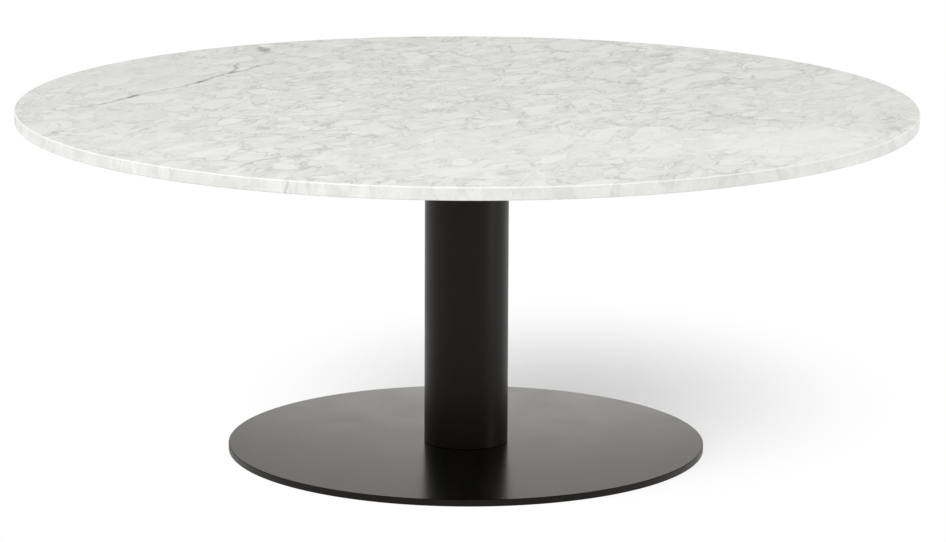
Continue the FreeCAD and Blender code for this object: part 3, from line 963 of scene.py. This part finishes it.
# %% Light from the walls
HORIZON_LIGHT, OVERHEAD_LIGHT = 2.1, 0.8
HORIZON_RISE = (0.34, 0.64)
BEHIND_CAMERA = 0.52
BRIGHT_SIDE = (-0.3, 1.0, 0.0)
BRIGHT_SIDE_REACH = (-1.0, 0.6)

world = bpy.data.worlds.new("White studio")
bpy.context.scene.world = world
world.use_nodes = True
world.cycles.sampling_method = "NONE"
tree = world.node_tree
tree.nodes.clear()
direction = add(tree, "TexCoord").outputs["Generated"]
height = add(tree, "SeparateXYZ", {0: direction}).outputs["Z"]
walls = add(tree, "MapRange", {
    "Value": height, "From Min": HORIZON_RISE[0], "From Max": HORIZON_RISE[1],
    "To Min": HORIZON_LIGHT, "To Max": OVERHEAD_LIGHT,
}, interpolation_type="SMOOTHSTEP").outputs[0]
facing = add(tree, "VectorMath", {0: direction, 1: BRIGHT_SIDE}, operation="DOT_PRODUCT")
round_about = add(tree, "MapRange", {
    "Value": facing.outputs["Value"], "From Min": BRIGHT_SIDE_REACH[0], "From Max": BRIGHT_SIDE_REACH[1],
    "To Min": BEHIND_CAMERA, "To Max": 1.0,
}).outputs[0]
strength = add(tree, "Math", {0: walls, 1: round_about}, operation="MULTIPLY").outputs[0]
lighting = add(tree, "Background", {"Color": (1, 1, 1, 1), "Strength": strength})
print("room light, horizon and overhead:", HORIZON_LIGHT, OVERHEAD_LIGHT)

# %% [markdown]
# The eye sees plain white of strength 1. Mirrors and glass see walls a third darker than that under
# a dim ceiling. All of it is a warm white, which gives the black coat its faintly warm grey.

# %% The room as it is seen
ROOM_WHITE = "#FFFCF6"
WALL_IN_MIRRORS, CEILING_IN_MIRRORS = 0.645, 0.25
CEILING_RISE = (0.29, 0.6)
EYE = ("Is Camera Ray",)
EYE_AND_MIRRORS = ("Is Camera Ray", "Is Glossy Ray", "Is Transmission Ray")


def looked_at(tree, rays=EYE_AND_MIRRORS):
    """1 for the named kinds of rays, and 0 for those that bring light."""
    path = add(tree, "LightPath")
    seen = path.outputs[rays[0]]
    for ray in rays[1:]:
        seen = add(tree, "Math", {0: seen, 1: path.outputs[ray]}, operation="MAXIMUM").outputs[0]
    return seen


mirrored = add(tree, "MapRange", {
    "Value": height, "From Min": CEILING_RISE[0], "From Max": CEILING_RISE[1],
    "To Min": WALL_IN_MIRRORS, "To Max": CEILING_IN_MIRRORS,
}, interpolation_type="SMOOTHSTEP").outputs[0]
sight = add(tree, "Mix", {0: looked_at(tree, EYE), 2: mirrored, 3: 1.0}).outputs[0]
view = add(tree, "Background", {"Color": linear(ROOM_WHITE), "Strength": sight})
room = add(tree, "MixShader", {0: looked_at(tree), 1: lighting.outputs[0], 2: view.outputs[0]})
add(tree, "OutputWorld", {"Surface": room.outputs[0]})
print("walls and ceiling in mirrors:", WALL_IN_MIRRORS, CEILING_IN_MIRRORS)

# %% [markdown]
# ## The floor
#
# The floor is one large flat square, far wider than the view. It is no part of the table.

# %% Floor
FLOOR_REACH = 14.0

floor_mesh = bpy.data.meshes.new("floor")
corners = [(FLOOR_REACH * x, FLOOR_REACH * y, 0) for x, y in ((-1, -1), (1, -1), (1, 1), (-1, 1))]
floor_mesh.from_pydata(corners, [], [(0, 1, 2, 3)])
floor = bpy.data.objects.new("floor", floor_mesh)
bpy.context.collection.objects.link(floor)
print("floor half-width:", FLOOR_REACH, "m")

# %% [markdown]
# The floor is white paint that takes the table's shadow. Away from the table it fades to the plain
# white of the room, so that no horizon shows and the shadow stays a soft patch under the table. The lit
# paint is greyer than that white, so the fade paints a soft shade of its own: its centre, shape and
# reach lie where the shadow falls, and the patch is partly the real shadow and partly this painted
# shade. It has an upper side only: from below it is clear, so that the glides and screws can be
# looked at.

# %% Floor paint
FLOOR_PAINT = "#E4E4E4"
# The shadow's centre, shape, reach and fade place a painted soft shade under the table's real shadow.
SHADOW_CENTRE = (0.13, 0.31, 0.0)
SHADOW_SHAPE = (1, 0.74, 1)
SHADOW_REACH = 0.44
SHADOW_FADE = (0.15, 1.0)

floor_finish = bpy.data.materials.new("Studio floor, white paint")
floor_finish.use_nodes = True
floor_finish.cycles.emission_sampling = "NONE"
tree = floor_finish.node_tree
tree.nodes.clear()
place = add(tree, "TexCoord").outputs["Object"]
offset = add(tree, "VectorMath", {0: place, 1: SHADOW_CENTRE}, operation="SUBTRACT").outputs[0]
shaped = add(tree, "VectorMath", {0: offset, 1: SHADOW_SHAPE}, operation="MULTIPLY").outputs[0]
away = add(tree, "VectorMath", {0: shaped}, operation="LENGTH").outputs["Value"]
fade = add(tree, "MapRange", {
    "Value": away, "From Min": 0.0, "From Max": SHADOW_REACH,
    "To Min": SHADOW_FADE[0], "To Max": SHADOW_FADE[1],
}, interpolation_type="SMOOTHSTEP").outputs[0]
shown = add(tree, "Math", {0: fade, 1: looked_at(tree)}, operation="MULTIPLY").outputs[0]
paint = add(tree, "BsdfDiffuse", {"Color": linear(FLOOR_PAINT)})
plain = add(tree, "Emission", {"Color": (1, 1, 1, 1), "Strength": 1.0})
faded = add(tree, "MixShader", {0: shown, 1: paint.outputs[0], 2: plain.outputs[0]})
below = add(tree, "NewGeometry").outputs["Backfacing"]
clear = add(tree, "BsdfTransparent")
one_sided = add(tree, "MixShader", {0: below, 1: faded.outputs[0], 2: clear.outputs[0]})
add(tree, "OutputMaterial", {"Surface": one_sided.outputs[0]})
floor_mesh.materials.append(floor_finish)
print("shadow's centre and reach:", SHADOW_CENTRE, SHADOW_REACH)

# %% [markdown]
# ## Lamps
#
# A wide round softbox hangs in front of the table, a little to the left. It is wider than the table,
# so the shadow has no hard edge and lies behind and to the right.

# %% Softbox
SOFTBOX_AIM = Vector((0, 0, 0.4))
SOFTBOX_SIDE = Vector((-0.1, -0.31, 0.4))
SOFTBOX_DISTANCE = 2.4
SOFTBOX_WIDTH = 3.6
SOFTBOX_POWER = 36.3
OPEN_BEAM = 180


def hang_lamp(name, shape, place, aim, width, height, beam, power):
    """Hangs an area lamp that points at aim, with its beam in degrees and its power in watts."""
    lamp = bpy.data.lights.new(name, "AREA")
    lamp.shape = shape
    lamp.size = width
    lamp.size_y = height
    lamp.spread = math.radians(beam)
    lamp.energy = power
    hung = bpy.data.objects.new(name, lamp)
    bpy.context.collection.objects.link(hung)
    hung.location = place
    hung.rotation_euler = (Vector(place) - Vector(aim)).to_track_quat("Z", "Y").to_euler()
    print(name, "at", tuple(round(along, 2) for along in place))


softbox_place = SOFTBOX_AIM + SOFTBOX_DISTANCE * SOFTBOX_SIDE.normalized()
hang_lamp(
    "softbox", "DISK", softbox_place, SOFTBOX_AIM, SOFTBOX_WIDTH, SOFTBOX_WIDTH, OPEN_BEAM, SOFTBOX_POWER,
)

# %% [markdown]
# Two weak lamps stand low, each behind a grid that keeps its light in a narrow beam. They add hardly
# any light, but the black steel mirrors them. The one at the right gives a soft shine along that side
# of the column, which shows that the tube is round. The one behind the table gives the shine on the
# base beside the column.

# %% Gridded lamps
GRIDDED_LAMPS = (
    # name, shape, place, aim, width, height, beam in degrees and power in watts
    ("side lamp", "RECTANGLE", (1.9, -0.6, 0.22), (0, 0, 0.22), 0.6, 0.4, 30, 0.15),
    ("rear lamp", "ELLIPSE", (0.02, 0.9, 0.15), (0, 0, 0), 0.86, 0.14, 40, 0.0135),
)

for row in GRIDDED_LAMPS:
    hang_lamp(*row)

# %% [markdown]
# ## The camera
#
# The eye is some five metres away and looks down by about twelve degrees through a long lens, so the
# round top is a flat oval and the column's sides stay parallel. The place, the angles, in radians, and
# the lens were worked out from the outlines of the top, the column and the base. A lens of about
# 165 mm on a 36 mm sensor fills the frame, which is 946 by 542 pixels.

# %% Camera
CAMERA_PLACE = Vector((0, -5.082, 1.273))
CAMERA_PITCH = 0.20466
CAMERA_ROLL = 0.00447
CAMERA_YAW = 0.0015
CAMERA_LENS = 165.55
CAMERA_SENSOR = 36

camera = bpy.data.cameras.new("camera")
camera.sensor_width = CAMERA_SENSOR
camera.lens = CAMERA_LENS
eye = bpy.data.objects.new("camera", camera)
bpy.context.collection.objects.link(eye)
eye.matrix_world = (
    Matrix.Translation(CAMERA_PLACE)
    @ Matrix.Rotation(-CAMERA_YAW, 4, "Z")
    @ Matrix.Rotation(math.pi / 2 - CAMERA_PITCH, 4, "X")
    @ Matrix.Rotation(CAMERA_ROLL, 4, "Z")
)
bpy.context.scene.camera = eye
bpy.context.scene.view_settings.view_transform = "Standard"
print("camera at", tuple(CAMERA_PLACE), "with a lens of", CAMERA_LENS, "mm")
